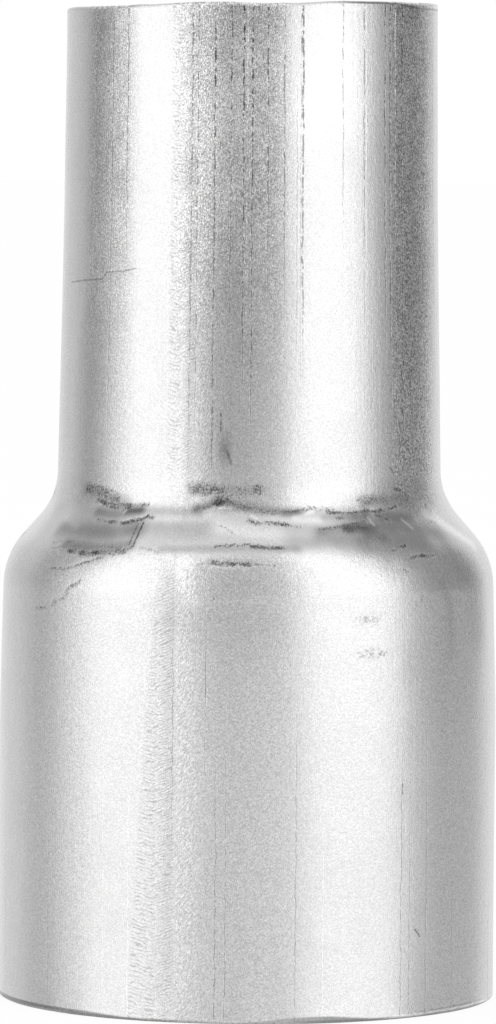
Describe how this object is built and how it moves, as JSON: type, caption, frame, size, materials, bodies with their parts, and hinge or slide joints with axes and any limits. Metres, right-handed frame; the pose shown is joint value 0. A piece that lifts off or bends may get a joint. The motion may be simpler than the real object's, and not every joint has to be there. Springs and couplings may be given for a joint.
{
  "type": "pipe reducer",
  "caption": "Stepped steel tube that joins a larger pipe to a smaller one, with a straight wide end, a short pressed cone and a longer straight narrow end.",
  "frame": {"origin": "centre of the large end's flat face, on which the part stands", "axes": "+Z along the tube towards the small end; the front is at -Y, with the weld seam to its left"},
  "size_m": [0.0508, 0.0508, 0.1016],
  "materials": {
    "drawn_steel": "mill finish with die lines along the tube"
  },
  "bodies": {
    "root": {"reducer": "drawn_steel"}
  },
  "joints": []
}
